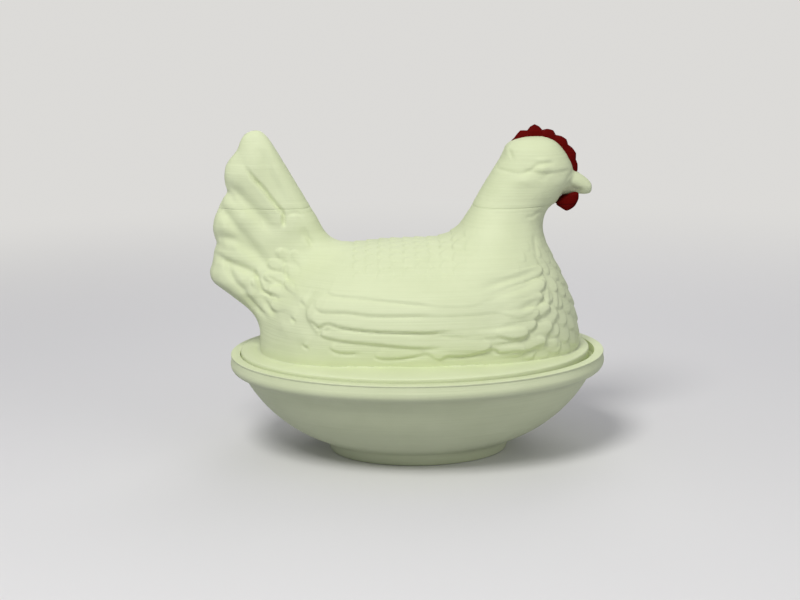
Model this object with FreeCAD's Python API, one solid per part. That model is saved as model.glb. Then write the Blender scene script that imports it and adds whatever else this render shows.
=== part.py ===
import FreeCAD, Part
import math
import os

# A covered dish in the form of a sitting hen: an oval nest dish, a lift-off cover
# that is the hen, and the hen's red comb and wattles.
# Millimetres. +X is towards the hen's head and +Z is up. The origin is on the
# dish's axis, at the underside of its foot.

V = FreeCAD.Vector

# dish: overall size, foot, bowl and rim
rim_length = 168.0
rim_width = 134.4
dish_height = 44.7
foot_length = 79.4
foot_width = 63.5
foot_height = 5.7
foot_spread = 2.4
foot_recess_depth = 2.6
foot_ring_width = 4.6
bowl_bulge = 5.0
bowl_wall = 3.4
bowl_floor = 3.6
rim_roll_height = 7.3
rim_roll_reach = 3.2
rim_overhang = 5.0
rim_crease_inset = 1.4
rim_band = 4.4
rim_band_rise = 0.6
seat_depth = 3.6

# cover: the flange that rests in the dish, and the hen that rises from it
seat_play = 1.4
flange_thickness = 3.2
flange_edge_height = 3.4
flange_crown = 4.6
flange_ring_width = 4.2
hen_length = 142.0
hen_width = 91.6
hen_height = 93.6
hen_forward = 2.0
hen_wall = 3.0

# relief: how far one wing plate stands over the next, and a feather's tip on the
# breast over the feather below
feather_step = 1.3
breast_step = 1.2

# beak
beak_length = 12.4
beak_height = 12.8
beak_width = 11.0

# comb: a plate let into a slot in the crown
comb_thickness = 4.2
comb_slot_depth = 3.0
comb_height = 4.4

# wattles: a pair of drops under the beak
wattle_length = 10.8
wattle_height = 8.8
wattle_thickness = 3.6
wattle_gap = 2.4

# how far a cutting tool runs past what it cuts
overrun = 5.0

# how finely the curved surfaces are facetted
dish_sides = 72
hen_sides = 28
hollow_sides = 20
small_sides = 12
ribs_between = 2
row_steps = 8
bowl_steps = 7
hollow_bowl_steps = 5
roll_steps = 5
crown_steps = 3

half_length = rim_length / 2
half_width = rim_width / 2
seat_z = dish_height - seat_depth
seat_inset = rim_band
flange_inset = seat_inset + seat_play
flange_edge_z = seat_z + flange_edge_height
cover_shift_share = -0.75
cover_shift = seat_play * cover_shift_share
flange_crown_share = 0.62
hen_base_z = flange_edge_z + flange_crown * flange_crown_share

# Ribs of the hen from rump to crown, as shares of her length and height: back
# point x and z, belly point x and z, then the half-width as a share of hers. The
# ribs fan round the nape, so the back flows into the neck and the breast into the
# throat. Below the flange they are cut away.
rib_shares = [
    (-0.502, 0.080, -0.502, -0.050, 0.14),
    (-0.492, 0.160, -0.495, -0.160, 0.36),
    (-0.472, 0.245, -0.475, -0.220, 0.54),
    (-0.434, 0.340, -0.440, -0.266, 0.71),
    (-0.373, 0.425, -0.380, -0.287, 0.85),
    (-0.275, 0.482, -0.280, -0.298, 0.945),
    (-0.148, 0.506, -0.148, -0.300, 0.99),
    (-0.007, 0.514, 0.007, -0.300, 1.0),
    (0.056, 0.518, 0.162, -0.298, 0.985),
    (0.100, 0.543, 0.317, -0.287, 0.93),
    (0.128, 0.579, 0.437, -0.200, 0.82),
    (0.143, 0.609, 0.492, -0.096, 0.735),
    (0.153, 0.633, 0.503, 0.032, 0.655),
    (0.167, 0.666, 0.489, 0.181, 0.55),
    (0.177, 0.696, 0.456, 0.315, 0.46),
    (0.187, 0.723, 0.422, 0.425, 0.39),
    (0.196, 0.747, 0.397, 0.515, 0.345),
    (0.205, 0.770, 0.391, 0.580, 0.325),
    (0.215, 0.795, 0.403, 0.647, 0.315),
    (0.226, 0.821, 0.441, 0.716, 0.31),
    (0.239, 0.853, 0.474, 0.771, 0.30),
    (0.253, 0.887, 0.484, 0.840, 0.285),
    (0.265, 0.921, 0.470, 0.899, 0.262),
    (0.276, 0.955, 0.444, 0.955, 0.22),
    (0.300, 0.984, 0.420, 0.984, 0.15),
    (0.334, 0.999, 0.390, 1.000, 0.07),
]
rib_roundness = 2.15
hollow_first_rib = 2
hollow_last_rib = 16
wing_first_rib = 3
wing_last_rib = 15

# The tail's lobed edge about its heart, as points of x and z in shares of the hen's
# length and height, with how full the tail is along the line from the heart to there.
# It is thinner along the valleys between feathers.
tail_heart_share = (-0.359, 0.381)
tail_edge_shares = [
    (-0.175, 0.420, 1), (-0.180, 0.488, 1), (-0.221, 0.494, 1), (-0.250, 0.511, 1), (-0.276, 0.541, 1),
    (-0.305, 0.603, 1), (-0.336, 0.681, 1), (-0.366, 0.762, 1), (-0.396, 0.841, 1), (-0.425, 0.920, 1),
    (-0.453, 0.992, 1), (-0.470, 1.025, 1), (-0.490, 1.045, 1), (-0.514, 1.042, 1), (-0.535, 1.025, 1),
    (-0.548, 0.992, 0.97), (-0.559, 0.951, 0.84), (-0.581, 0.912, 0.97), (-0.596, 0.874, 1),
    (-0.600, 0.824, 1), (-0.597, 0.782, 0.96), (-0.591, 0.757, 0.82), (-0.608, 0.721, 0.96),
    (-0.624, 0.673, 1), (-0.637, 0.624, 0.90), (-0.641, 0.577, 1), (-0.637, 0.541, 0.96),
    (-0.631, 0.510, 0.84), (-0.639, 0.480, 0.97), (-0.643, 0.442, 1), (-0.648, 0.408, 1),
    (-0.655, 0.380, 1), (-0.655, 0.352, 1), (-0.645, 0.324, 0.98), (-0.624, 0.298, 0.86),
    (-0.594, 0.263, 0.98), (-0.564, 0.224, 1), (-0.535, 0.181, 0.86), (-0.512, 0.146, 0.98),
    (-0.498, 0.108, 1), (-0.470, 0.030, 1), (-0.300, 0.010, 1), (-0.175, 0.240, 1),
]

# How thick the tail is at each height, as shares of the hen's height and width, and
# how its faces round over between the heart and the edge, as shares of both ways.
tail_thickness_shares = [
    (0.00, 0.460), (0.135, 0.404), (0.221, 0.349), (0.306, 0.295), (0.392, 0.245), (0.477, 0.214),
    (0.563, 0.192), (0.648, 0.175), (0.755, 0.159), (0.862, 0.146), (0.969, 0.131), (1.060, 0.105),
]
tail_cushion_shares = [(0.06, 1), (0.45, 0.995), (0.75, 0.91), (0.88, 0.73), (0.96, 0.46), (1, 0)]

# The wing as plates laid one on another, lowest first: each outline is points of x
# and z as shares of the hen's length and height. Low on the hen a plate stands out
# by its full step, and it runs out to nothing at her back.
wing_plate_shares = [
    [(-0.250, 0.480), (-0.330, 0.300), (-0.335, 0.200), (-0.310, 0.158), (-0.262, 0.138), (-0.210, 0.120),
     (-0.100, 0.100), (0.000, 0.088), (0.060, 0.052), (0.173, 0.064), (0.283, 0.072), (0.335, 0.090),
     (0.372, 0.125), (0.380, 0.165), (0.402, 0.200), (0.404, 0.245), (0.420, 0.290), (0.410, 0.345),
     (0.370, 0.420), (0.200, 0.500)],
    [(-0.240, 0.470), (-0.320, 0.320), (-0.345, 0.250), (-0.338, 0.216), (-0.299, 0.190), (-0.210, 0.176),
     (-0.120, 0.168), (0.029, 0.164), (0.120, 0.140), (0.220, 0.138), (0.285, 0.160), (0.325, 0.195),
     (0.340, 0.245), (0.368, 0.290), (0.360, 0.350), (0.310, 0.440), (0.190, 0.490)],
    [(-0.230, 0.460), (-0.300, 0.350), (-0.322, 0.300), (-0.307, 0.268), (-0.250, 0.256), (-0.119, 0.242),
     (0.020, 0.230), (0.130, 0.222), (0.205, 0.235), (0.250, 0.270), (0.270, 0.320), (0.300, 0.365),
     (0.270, 0.430), (0.180, 0.480)],
    [(-0.220, 0.450), (-0.285, 0.395), (-0.298, 0.362), (-0.280, 0.342), (-0.180, 0.326), (-0.059, 0.308),
     (0.060, 0.300), (0.150, 0.312), (0.200, 0.345), (0.215, 0.390), (0.170, 0.460)],
]

# The breast's feathers, in rows round the front of the ribs' outline: places along the
# ribs where rows have their tips, counted in ribs, how much further up the notches
# between tips lie, how close below them the next feathers come out, and the first and
# last feather's place round a rib.
breast_row_shares = [12.125, 12.75, 13.375, 14.0, 14.625, 15.25]
breast_notch_share = 0.5
breast_gap_share = 0.125
breast_around_shares = (0.30, 0.70)

# The beak as slices from face to tip, as shares of its length, height and height:
# distance along, drop and size.
beak_root_share = (0.458, 0.787)
beak_slice_shares = [
    (-0.50, -0.06, 1.08),
    (0.05, -0.02, 1.00),
    (0.40, 0.07, 0.80),
    (0.70, 0.16, 0.62),
    (0.90, 0.22, 0.42),
    (1.00, 0.25, 0.20),
]

# The comb about the crown's centre: turns in degrees from the beak's side, and
# heights over the crown as a share of the comb's height, points and notches by turns.
crown_centre_share = (0.370, 0.842)
crown_reach_share = 0.110
comb_edge_shares = [
    (137, 0.16), (124, 0.34), (112, 0.68), (103, 0.44), (98, 0.78), (92, 0.98), (86, 0.74), (81, 0.40),
    (74, 0.66), (66, 0.70), (60, 0.36), (52, 0.62), (44, 0.70), (37, 0.44), (30, 0.66), (21, 0.76),
    (13, 0.52), (6, 0.66), (-2, 0.64), (-8, 0.30),
]
comb_back_turn = 150
comb_front_turn = -12

# The wattles' place under the beak, and their drop shape from chin to lower end.
wattle_centre_share = (0.466, 0.694)
wattle_tilt = 32
drop_shares = [(-1.0, 0.20), (-0.75, 0.62), (-0.30, 0.95), (0.20, 1.0), (0.65, 0.76), (1.0, 0.24)]


def hen_point(x_share, z_share):
    return V(hen_forward + hen_length * x_share, 0, hen_base_z + hen_height * z_share)


def facet(*corners):
    return Part.Face(Part.makePolygon(list(corners) + [corners[0]]))


def skin(rings):
    """A closed solid over rings of points. Two rings on one level bound a flat ring."""
    faces = [facet(*rings[0]), facet(*rings[-1])]
    for low, high in zip(rings, rings[1:]):
        if low[0].z == high[0].z == low[1].z == high[1].z:
            edges = [Part.makePolygon(ring + [ring[0]]) for ring in (low, high)]
            faces.append(Part.makeFace(edges, "Part::FaceMakerBullseye"))
            continue
        count = len(low)
        for i in range(count):
            a, b = low[i], low[(i + 1) % count]
            d, c = high[i], high[(i + 1) % count]
            if i < count / 2:
                faces += [facet(a, b, c), facet(a, c, d)]
            else:
                faces += [facet(a, b, d), facet(b, c, d)]
    solid = Part.makeSolid(Part.makeShell(faces))
    if solid.Volume < 0:
        solid.reverse()
    return solid


def oval(centre, long_axis, long_reach, cross_axis, cross_reach, sides, roundness=2):
    """Points round an oval, squarer as the roundness grows past two."""
    ring = []
    for i in range(sides):
        turn = 2 * math.pi * i / sides
        c = math.cos(turn)
        s = math.sin(turn)
        along = math.copysign(abs(c) ** (2 / roundness), c) * long_reach
        across = math.copysign(abs(s) ** (2 / roundness), s) * cross_reach
        ring.append(centre + long_axis * along + cross_axis * across)
    return ring


def level_oval(reach, reach_across, z):
    return oval(V(0, 0, z), V(1, 0, 0), reach, V(0, 1, 0), reach_across, dish_sides)


def bowl_rings(inset, steps):
    """The bowl's wall from foot to rim as an arc, or the line inside it by the inset."""
    low = V(foot_length / 2 + foot_spread, 0, foot_height)
    high = V(half_length - rim_overhang, 0, dish_height - rim_roll_height)
    low_across = foot_width / 2 + foot_spread
    high_across = half_width - rim_overhang
    chord = high - low
    radius = (chord.Length ** 2 / 4 + bowl_bulge ** 2) / (2 * bowl_bulge)
    inward = V(-chord.z, 0, chord.x).normalize()
    centre = (low + high) * (1 / 2) + inward * (radius - bowl_bulge)
    start = math.atan2(low.z - centre.z, low.x - centre.x)
    end = math.atan2(high.z - centre.z, high.x - centre.x)
    rings = []
    for i in range(steps + 1):
        turn = start + (end - start) * i / steps
        outer = centre.x + radius * math.cos(turn)
        drawn_in = inset * math.cos(turn)
        share = (outer - low.x) / (high.x - low.x)
        across = low_across + (high_across - low_across) * share
        z = centre.z + (radius - inset) * math.sin(turn)
        rings.append(level_oval(outer - drawn_in, across - drawn_in, z))
    return rings


def rim_ring(inset, z):
    return level_oval(half_length - inset, half_width - inset, z)


def rim_rings():
    """The rolled rim from its underside to the crease, then the band and the ledge."""
    rise = rim_roll_height / 2
    rings = []
    for i in range(roll_steps + 1):
        turn = -math.pi / 2 + math.pi * 3 / 4 * i / roll_steps
        inset = rim_roll_reach * (1 - math.cos(turn))
        rings.append(rim_ring(inset, dish_height - rise + rise * math.sin(turn)))
    rings.append(rim_ring(rim_crease_inset, dish_height))
    rings.append(rim_ring(seat_inset, dish_height + rim_band_rise))
    rings.append(rim_ring(seat_inset, seat_z))
    rings.append(rim_ring(rim_overhang + bowl_wall, seat_z))
    return rings


def foot_ring(inset, z):
    return level_oval(foot_length / 2 - inset, foot_width / 2 - inset, z)


def dish():
    """One skin: under the floor, round the foot, up the bowl, over the rim, down inside."""
    rings = [
        foot_ring(foot_ring_width, foot_recess_depth),
        foot_ring(foot_ring_width, 0),
        foot_ring(0, 0),
    ]
    rings += bowl_rings(0, bowl_steps)
    rings += rim_rings()
    rings += reversed(bowl_rings(bowl_wall, hollow_bowl_steps))
    rings.append(foot_ring(foot_ring_width, foot_recess_depth + bowl_floor))
    return skin(rings)


def crown_rings(inset, edge_z):
    """The flange's low dome from its edge inwards, as a quarter of an ellipse."""
    least_share = 0.45
    rings = []
    for i in range(crown_steps + 1):
        share = 1 - (1 - least_share) * (i / crown_steps) ** 2
        rise = flange_crown * math.sqrt(1 - share ** 2)
        reach = (half_length - inset) * share
        across = (half_width - inset) * share
        rings.append(level_oval(reach, across, edge_z + rise))
    return rings


def flange():
    return skin([rim_ring(flange_inset, seat_z)] + crown_rings(flange_inset, flange_edge_z))


def flange_hollow():
    inset = flange_inset + flange_ring_width
    low = rim_ring(inset, seat_z - overrun)
    return skin([low] + crown_rings(inset, flange_edge_z - flange_thickness))


def smoothed(rows, between):
    """The rows with further ones on a smooth curve between each pair."""
    full = []
    for i in range(len(rows) - 1):
        before = rows[max(i - 1, 0)]
        after = rows[min(i + 2, len(rows) - 1)]
        for step in range(between):
            t = step / between
            row = []
            for p, q, r, s in zip(before, rows[i], rows[i + 1], after):
                bend = 2 * p - 5 * q + 4 * r - s
                twist = 3 * q - p - 3 * r + s
                row.append((2 * q + (r - p) * t + bend * t ** 2 + twist * t ** 3) / 2)
            full.append(tuple(row))
    return full + [rows[-1]]


def rib(shares, grow, sides, lower=0):
    """One rib of the hen, grown outwards or, when negative, drawn inwards."""
    back = hen_point(shares[0], shares[1])
    belly = hen_point(shares[2], shares[3])
    up = (back - belly).normalize()
    reach = back.distanceToPoint(belly) / 2 + grow
    across = shares[4] * hen_width / 2 + grow
    centre = (back + belly) * (1 / 2) - up * lower
    return oval(centre, up, reach, V(0, 1, 0), across, sides, rib_roundness)


def above(shape, z):
    """What of a shape lies over a level."""
    box = shape.BoundBox
    length = box.XLength + 2 * overrun
    width = box.YLength + 2 * overrun
    corner = V(box.XMin - overrun, box.YMin - overrun, z)
    return shape.common(Part.makeBox(length, width, box.ZMax - z + overrun, corner))


def swollen_torso(rows, grow):
    """The hen's body swollen at the sides and level with it along the back."""
    rings = [rib(row, grow, hen_sides, grow) for row in smoothed(rows, ribs_between)]
    return above(skin(rings), flange_edge_z)


def feather_row(places, tips_at, number, grow):
    """A ring round the body that dips to a tip at every other point of the breast."""
    ring = []
    first, last = breast_around_shares
    for i in range(hen_sides):
        around = i / hen_sides
        on_breast = first <= around <= last
        rise = breast_notch_share * ((i + number) % 2 if on_breast else 1 / 2)
        row = places[round((tips_at + rise) * row_steps)]
        ring.append(rib(row, grow if on_breast else 0, hen_sides)[i])
    return ring


def torso():
    """The hen's body, its breast laid with rows of feathers."""
    places = smoothed(rib_shares, row_steps)
    low = breast_row_shares[0] - breast_gap_share
    high = breast_row_shares[-1] + breast_notch_share
    rings = []
    for i, row in enumerate(smoothed(rib_shares, ribs_between)):
        if i / ribs_between < low:
            rings.append(rib(row, 0, hen_sides))
    for number, tips_at in enumerate(breast_row_shares):
        rings.append(feather_row(places, tips_at - breast_gap_share, number, 0))
        rings.append(feather_row(places, tips_at, number, breast_step))
    for i, row in enumerate(smoothed(rib_shares, ribs_between)):
        if i / ribs_between > high:
            rings.append(rib(row, 0, hen_sides))
    return above(skin(rings), flange_edge_z)


def torso_hollow():
    rows = rib_shares[hollow_first_rib:hollow_last_rib]
    return skin([rib(row, -hen_wall, hollow_sides) for row in rows])


def between(rows, place):
    """The second value of a table where its first one reaches a place."""
    for (a, low), (b, high) in zip(rows, rows[1:]):
        if place <= b:
            return low + (high - low) * max(0, place - a) / (b - a)
    return rows[-1][1]


def tail_ring(reach, fullness, side, level=False):
    """The tail's edge drawn in towards its heart, on one side, or a level ring there."""
    heart_x, heart_z = tail_heart_share
    ring = []
    for edge_x, edge_z, thinned in tail_edge_shares:
        x_share = heart_x + (edge_x - heart_x) * reach
        z_share = heart_z + (edge_z - heart_z) * reach
        depth = between(tail_thickness_shares, heart_z if level else z_share) * fullness
        if not level:
            depth *= 1 - (1 - thinned) * math.sqrt(reach)
        ring.append(hen_point(x_share, z_share) + V(0, side * depth * hen_width / 2, 0))
    return ring


def tail():
    """The raised fan of feathers: two cushioned faces that meet round a lobed edge."""
    inner, *outer = tail_cushion_shares
    rings = [tail_ring(*inner, -1, level=True)]
    rings += [tail_ring(*row, -1) for row in outer]
    rings += [tail_ring(*row, 1) for row in outer[-2::-1]]
    rings.append(tail_ring(*inner, 1, level=True))
    return above(skin(rings), flange_edge_z)


def slab(outline_shares, width):
    """A plate on edge over the middle of the hen."""
    points = [hen_point(*share) - V(0, width / 2, 0) for share in outline_shares]
    return facet(*points).extrude(V(0, width, 0))


def wing_plates():
    """Plates on both sides at once, each standing further out than the one below it."""
    rows = rib_shares[wing_first_rib:wing_last_rib]
    plates = []
    for level, outline in enumerate(wing_plate_shares, 1):
        plates.append(swollen_torso(rows, level * feather_step).common(slab(outline, 2 * hen_width)))
    return plates


def beak():
    root = hen_point(*beak_root_share)
    rings = []
    for along, drop, size in beak_slice_shares:
        centre = root + V(along * beak_length, 0, -drop * beak_height)
        height = size * beak_height / 2
        width = size * beak_width / 2
        rings.append(oval(centre, V(0, 0, 1), height, V(0, 1, 0), width, small_sides))
    return skin(rings)


def around_crown(turn, reach):
    angle = math.radians(turn)
    return hen_point(*crown_centre_share) + V(math.cos(angle), 0, math.sin(angle)) * reach


def comb():
    """A toothed plate on edge, its foot in a slot that follows the crown."""
    crown_reach = crown_reach_share * hen_length
    foot_reach = crown_reach - comb_slot_depth
    outline = [around_crown(comb_back_turn, foot_reach)]
    for turn, height_share in comb_edge_shares:
        outline.append(around_crown(turn, crown_reach + comb_height * height_share))
    outline.append(around_crown(comb_front_turn, foot_reach))
    middle = around_crown((comb_back_turn + comb_front_turn) / 2, foot_reach)
    side = V(0, comb_thickness / 2, 0)
    edges = [Part.makePolygon([point - side for point in outline])]
    edges.append(Part.Arc(outline[-1] - side, middle - side, outline[0] - side).toShape())
    return Part.Face(Part.Wire(edges)).extrude(side * 2)


def wattle(side):
    """A drop hanging on one side of the chin."""
    centre = hen_point(*wattle_centre_share) + V(0, side * (wattle_gap + wattle_thickness) / 2, 0)
    tilt = math.radians(wattle_tilt)
    along = V(-math.sin(tilt), 0, -math.cos(tilt))
    across = V(math.cos(tilt), 0, -math.sin(tilt))
    rings = []
    for place, fullness in drop_shares:
        middle = centre + along * (place * wattle_height / 2)
        width = wattle_length / 2 * fullness
        depth = wattle_thickness / 2 * fullness
        rings.append(oval(middle, across, width, V(0, 1, 0), depth, small_sides))
    return skin(rings)


def hen():
    """The cover: flange, body, tail, wings and beak as one moulding, hollow below."""
    outside = [torso(), tail(), beak()]
    outside += wing_plates()
    body = flange().fuse(outside)
    return body.cut([flange_hollow(), torso_hollow()])


def build():
    plate = comb()
    cover = hen().cut(plate)
    wattles = {"wattle_left": wattle(1).cut(cover), "wattle_right": wattle(-1).cut(cover)}
    nodes = {"dish": dish()}
    for name, solid in {"hen_cover": cover, "comb": plate, **wattles}.items():
        nodes[name] = solid.translated(V(cover_shift, 0, 0))
    return nodes


os.makedirs("parts", exist_ok=True)
for name, solid in build().items():
    print(name, solid.isValid(), len(solid.Solids), round(solid.Volume))
    solid.exportStep("parts/" + name + ".step")
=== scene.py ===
"""Hen on nest dish: an oval dish, a cover in the form of a sitting hen, her comb and wattles."""
import math
import bpy
import numpy as np
from mathutils import Matrix, Vector
from mathutils.bvhtree import BVHTree


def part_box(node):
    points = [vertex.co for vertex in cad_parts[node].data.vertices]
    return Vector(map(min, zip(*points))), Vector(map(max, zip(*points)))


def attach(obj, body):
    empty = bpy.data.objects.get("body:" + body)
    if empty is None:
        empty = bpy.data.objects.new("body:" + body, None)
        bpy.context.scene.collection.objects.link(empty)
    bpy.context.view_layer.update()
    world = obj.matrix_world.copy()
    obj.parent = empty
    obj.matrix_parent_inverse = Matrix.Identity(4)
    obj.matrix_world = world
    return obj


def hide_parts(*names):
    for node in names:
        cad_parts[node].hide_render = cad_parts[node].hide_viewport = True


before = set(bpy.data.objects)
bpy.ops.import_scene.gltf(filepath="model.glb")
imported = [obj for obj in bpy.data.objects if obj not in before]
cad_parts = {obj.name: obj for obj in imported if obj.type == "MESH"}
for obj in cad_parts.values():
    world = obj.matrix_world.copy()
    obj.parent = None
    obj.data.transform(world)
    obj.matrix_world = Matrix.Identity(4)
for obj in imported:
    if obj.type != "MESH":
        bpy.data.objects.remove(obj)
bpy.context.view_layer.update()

bl_info = {
    "name": "Hen on Nest Dish",
    "version": (1, 0, 0),
    "blender": (4, 5, 0),
    "location": "3D View > Sidebar > Hen Dish",
    "description": "Builds a covered oval dish with a sitting hen as its cover",
    "category": "Add Mesh",
}

MM = 0.001
Y_AXIS = np.array([0.0, 1.0, 0.0])
TINY, WELD_DISTANCE = 1e-9, 0.00001

# Sizes in millimetres. The rim's reach, half-width and height, the seat's height and the
# cover's box come from the frame.
RIM_REACH, RIM_ACROSS, RIM_TOP = np.array(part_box("dish")[1]) / MM
COVER_LOW, COVER_HIGH = [np.array(corner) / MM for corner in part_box("hen_cover")]
FOOT_REACH, FOOT_ACROSS = 39.7, 31.75
FOOT_HEIGHT, FOOT_SPREAD, FOOT_RECESS, FOOT_RING = 5.7, 2.4, 2.6, 4.6
FOOT_BEND = (0.55, 0.72)
BOWL_BULGE, BOWL_WALL, BOWL_FLOOR = 5.0, 3.4, 3.6
BOWL_STEPS = 24

# The rim: a roll, over it a flat ledge with a groove under its outer edge, and inside
# it the seat of the cover. The groove's two depths are measured from the top.
LEDGE_HEIGHT, LEDGE_INSET, LEDGE_WIDTH = 0.6, 0.25, 4.4
ROLL_HEIGHT, ROLL_REACH, ROLL_TURNS = 7.3, 3.2, (-90, 20)
ROLL_TOP = RIM_TOP - LEDGE_HEIGHT
RIM_OVERHANG = 5.0
GROOVE_INSET, GROOVE_DEPTHS = 0.5, (1.0, 0.85)
FOOT_EASE, LEDGE_EASE, FLOOR_EASE, PLATE_EASE = 0.9, 0.3, 3.0, 0.8

# The cover's plate, its hollow underneath and the hen's place on it
SEAT_Z = COVER_LOW[2]
COVER_SHIFT = -1.05
PLATE_REACH, PLATE_ACROSS = 78.2, COVER_HIGH[1]
PLATE_EDGE, PLATE_CROWN, PLATE_LIP, PLATE_RISE = 3.4, 4.6, 2.3, 1.8
PLATE_EDGE_Z = SEAT_Z + PLATE_EDGE
PLATE_STEPS, HOLLOW_STEPS = 200, 120
HOLLOW_RING, PLATE_THICKNESS, HOLLOW_BELOW = 4.2, 3.2, 5.0
HEN_LENGTH, HEN_WIDTH, HEN_HEIGHT = 142.0, 91.6, 93.6
HEN_BASE_SHARE, HEN_OFFSET = 0.62, 2.0
HEN_BASE = PLATE_EDGE_Z + PLATE_CROWN * HEN_BASE_SHARE
HEN_FORWARD = COVER_SHIFT + HEN_OFFSET
HEN_WALL, HEN_SINK = 3.0, 0.6
BELOW_PLATE = [(-120, -90), (120, -90), (120, 90), (-120, 90)]
RIB_ROUNDNESS = 2.15

# The hen's ribs from rump to crown, as shares of her length and height: back point
# x and z, belly point x and z, then half-width as a share of hers.
RIB_SHARES = [
    (-0.502, 0.080, -0.502, -0.050, 0.12),
    (-0.492, 0.160, -0.495, -0.160, 0.29),
    (-0.472, 0.245, -0.475, -0.220, 0.45),
    (-0.434, 0.340, -0.440, -0.266, 0.61),
    (-0.373, 0.425, -0.380, -0.287, 0.78),
    (-0.275, 0.482, -0.280, -0.298, 0.915),
    (-0.148, 0.506, -0.148, -0.300, 0.98),
    (-0.007, 0.514, 0.007, -0.300, 1.0),
    (0.056, 0.518, 0.162, -0.298, 0.985),
    (0.100, 0.543, 0.317, -0.287, 0.93),
    (0.128, 0.579, 0.437, -0.200, 0.82),
    (0.143, 0.609, 0.492, -0.096, 0.735),
    (0.153, 0.633, 0.503, 0.032, 0.655),
    (0.167, 0.666, 0.489, 0.181, 0.55),
    (0.177, 0.696, 0.456, 0.315, 0.46),
    (0.187, 0.723, 0.422, 0.425, 0.39),
    (0.196, 0.747, 0.397, 0.515, 0.345),
    (0.205, 0.770, 0.391, 0.580, 0.325),
    (0.215, 0.795, 0.403, 0.647, 0.315),
    (0.226, 0.821, 0.441, 0.716, 0.31),
    (0.239, 0.853, 0.474, 0.771, 0.30),
    (0.253, 0.887, 0.484, 0.840, 0.285),
    (0.265, 0.921, 0.470, 0.899, 0.262),
    (0.276, 0.955, 0.444, 0.955, 0.22),
    (0.300, 0.984, 0.420, 0.984, 0.15),
    (0.334, 0.999, 0.390, 1.000, 0.07),
]
HOLLOW_RIBS = slice(2, 16)

# The tail's outline seen from the side, from its root on the back, over the tip and
# down the lobed rear edge to the rump, and its half-thickness by height.
TAIL_OUTLINE = [
    (-24, 92.5), (-30.4, 93.6), (-34.6, 95.2), (-38.2, 98), (-42.4, 103.8), (-46.7, 111.1), (-51, 118.7),
    (-55.2, 126.1), (-59.4, 133.5), (-63.4, 140.2), (-65.8, 143.3), (-68.6, 145.2), (-72, 144.9),
    (-75, 143.3), (-76.9, 140.2), (-78.4, 136.4), (-81.6, 132.8), (-83.7, 129.2), (-84.3, 124.5),
    (-83.9, 120.6), (-83, 118.2), (-85.4, 114.9), (-87.6, 110.4), (-89.5, 105.8), (-90.1, 101.4),
    (-89.5, 98), (-88.6, 95.1), (-89.8, 92.3), (-90.3, 88.9), (-91.1, 85.6), (-92.1, 82.8), (-92, 80.4),
    (-90.8, 77.8), (-87.8, 75.3), (-83.4, 72), (-79.1, 68.3), (-75, 64.3), (-71.8, 61), (-69.8, 57.5),
    (-66, 50), (-40, 48), (-24, 70),
]
TAIL_HEART = (-50.0, 83.0)
TAIL_THICKNESS = [
    (47, 21), (60, 18.5), (68, 16), (76, 13.5), (84, 11.2), (92, 9.8), (100, 8.8), (108, 8),
    (118, 7.3), (128, 6.7), (138, 6.0), (146, 4.8),
]
TAIL_CUSHION = [(0, 1), (0.45, 0.995), (0.75, 0.91), (0.88, 0.73), (0.96, 0.46), (0.99, 0.24), (1, 0)]

# The wing as areas that stand one over another, lowest first, in x and z.
WING_STEPS = (0.6, 0.6, 0.4, 0.3)
WING_AREAS = [
    [(-34, 92), (-44, 78), (-47.5, 72), (-46, 66), (-43.5, 62.8), (-40.5, 60), (-33, 58.9), (-21, 57.6),
     (-8, 56.4), (2, 55.2), (8, 51.4), (14, 52.2), (22, 52.4), (31.5, 54.4), (35, 52.9), (41, 52.7),
     (46.5, 52.3), (50, 54), (54.2, 55.1), (56, 58.5), (58.5, 62.5), (60.4, 66.5), (61, 74), (60, 82),
     (54, 90), (30, 97)],
    [(-33, 90), (-42, 79), (-46.8, 71), (-46.6, 67), (-42, 64.7), (-31.5, 64.6), (-18, 63.3), (2, 62.7),
     (14, 61.5), (25, 59.8), (31.6, 60), (40, 58.2), (46.8, 59.8), (49.5, 62.6), (51.4, 66), (55.8, 69),
     (56.5, 75), (56, 82), (50, 88), (28, 95)],
    [(-31, 89), (-39, 80), (-43.3, 75), (-42.6, 72), (-39, 70.3), (-30, 70.6), (-18, 69.6), (9, 69.6),
     (22, 69.6), (33, 69.8), (42, 67), (48, 68.6), (52, 72.6), (55.6, 79), (54.6, 86), (46, 90), (26, 94)],
    [(-29, 88), (-36, 83), (-40.5, 80.2), (-38, 77.8), (-30, 76.4), (-14, 75.2), (9, 73.3), (22, 73),
     (31.5, 75.6), (44, 78.4), (49.5, 80.6), (53, 84.6), (44, 90), (24, 93)],
]

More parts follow.
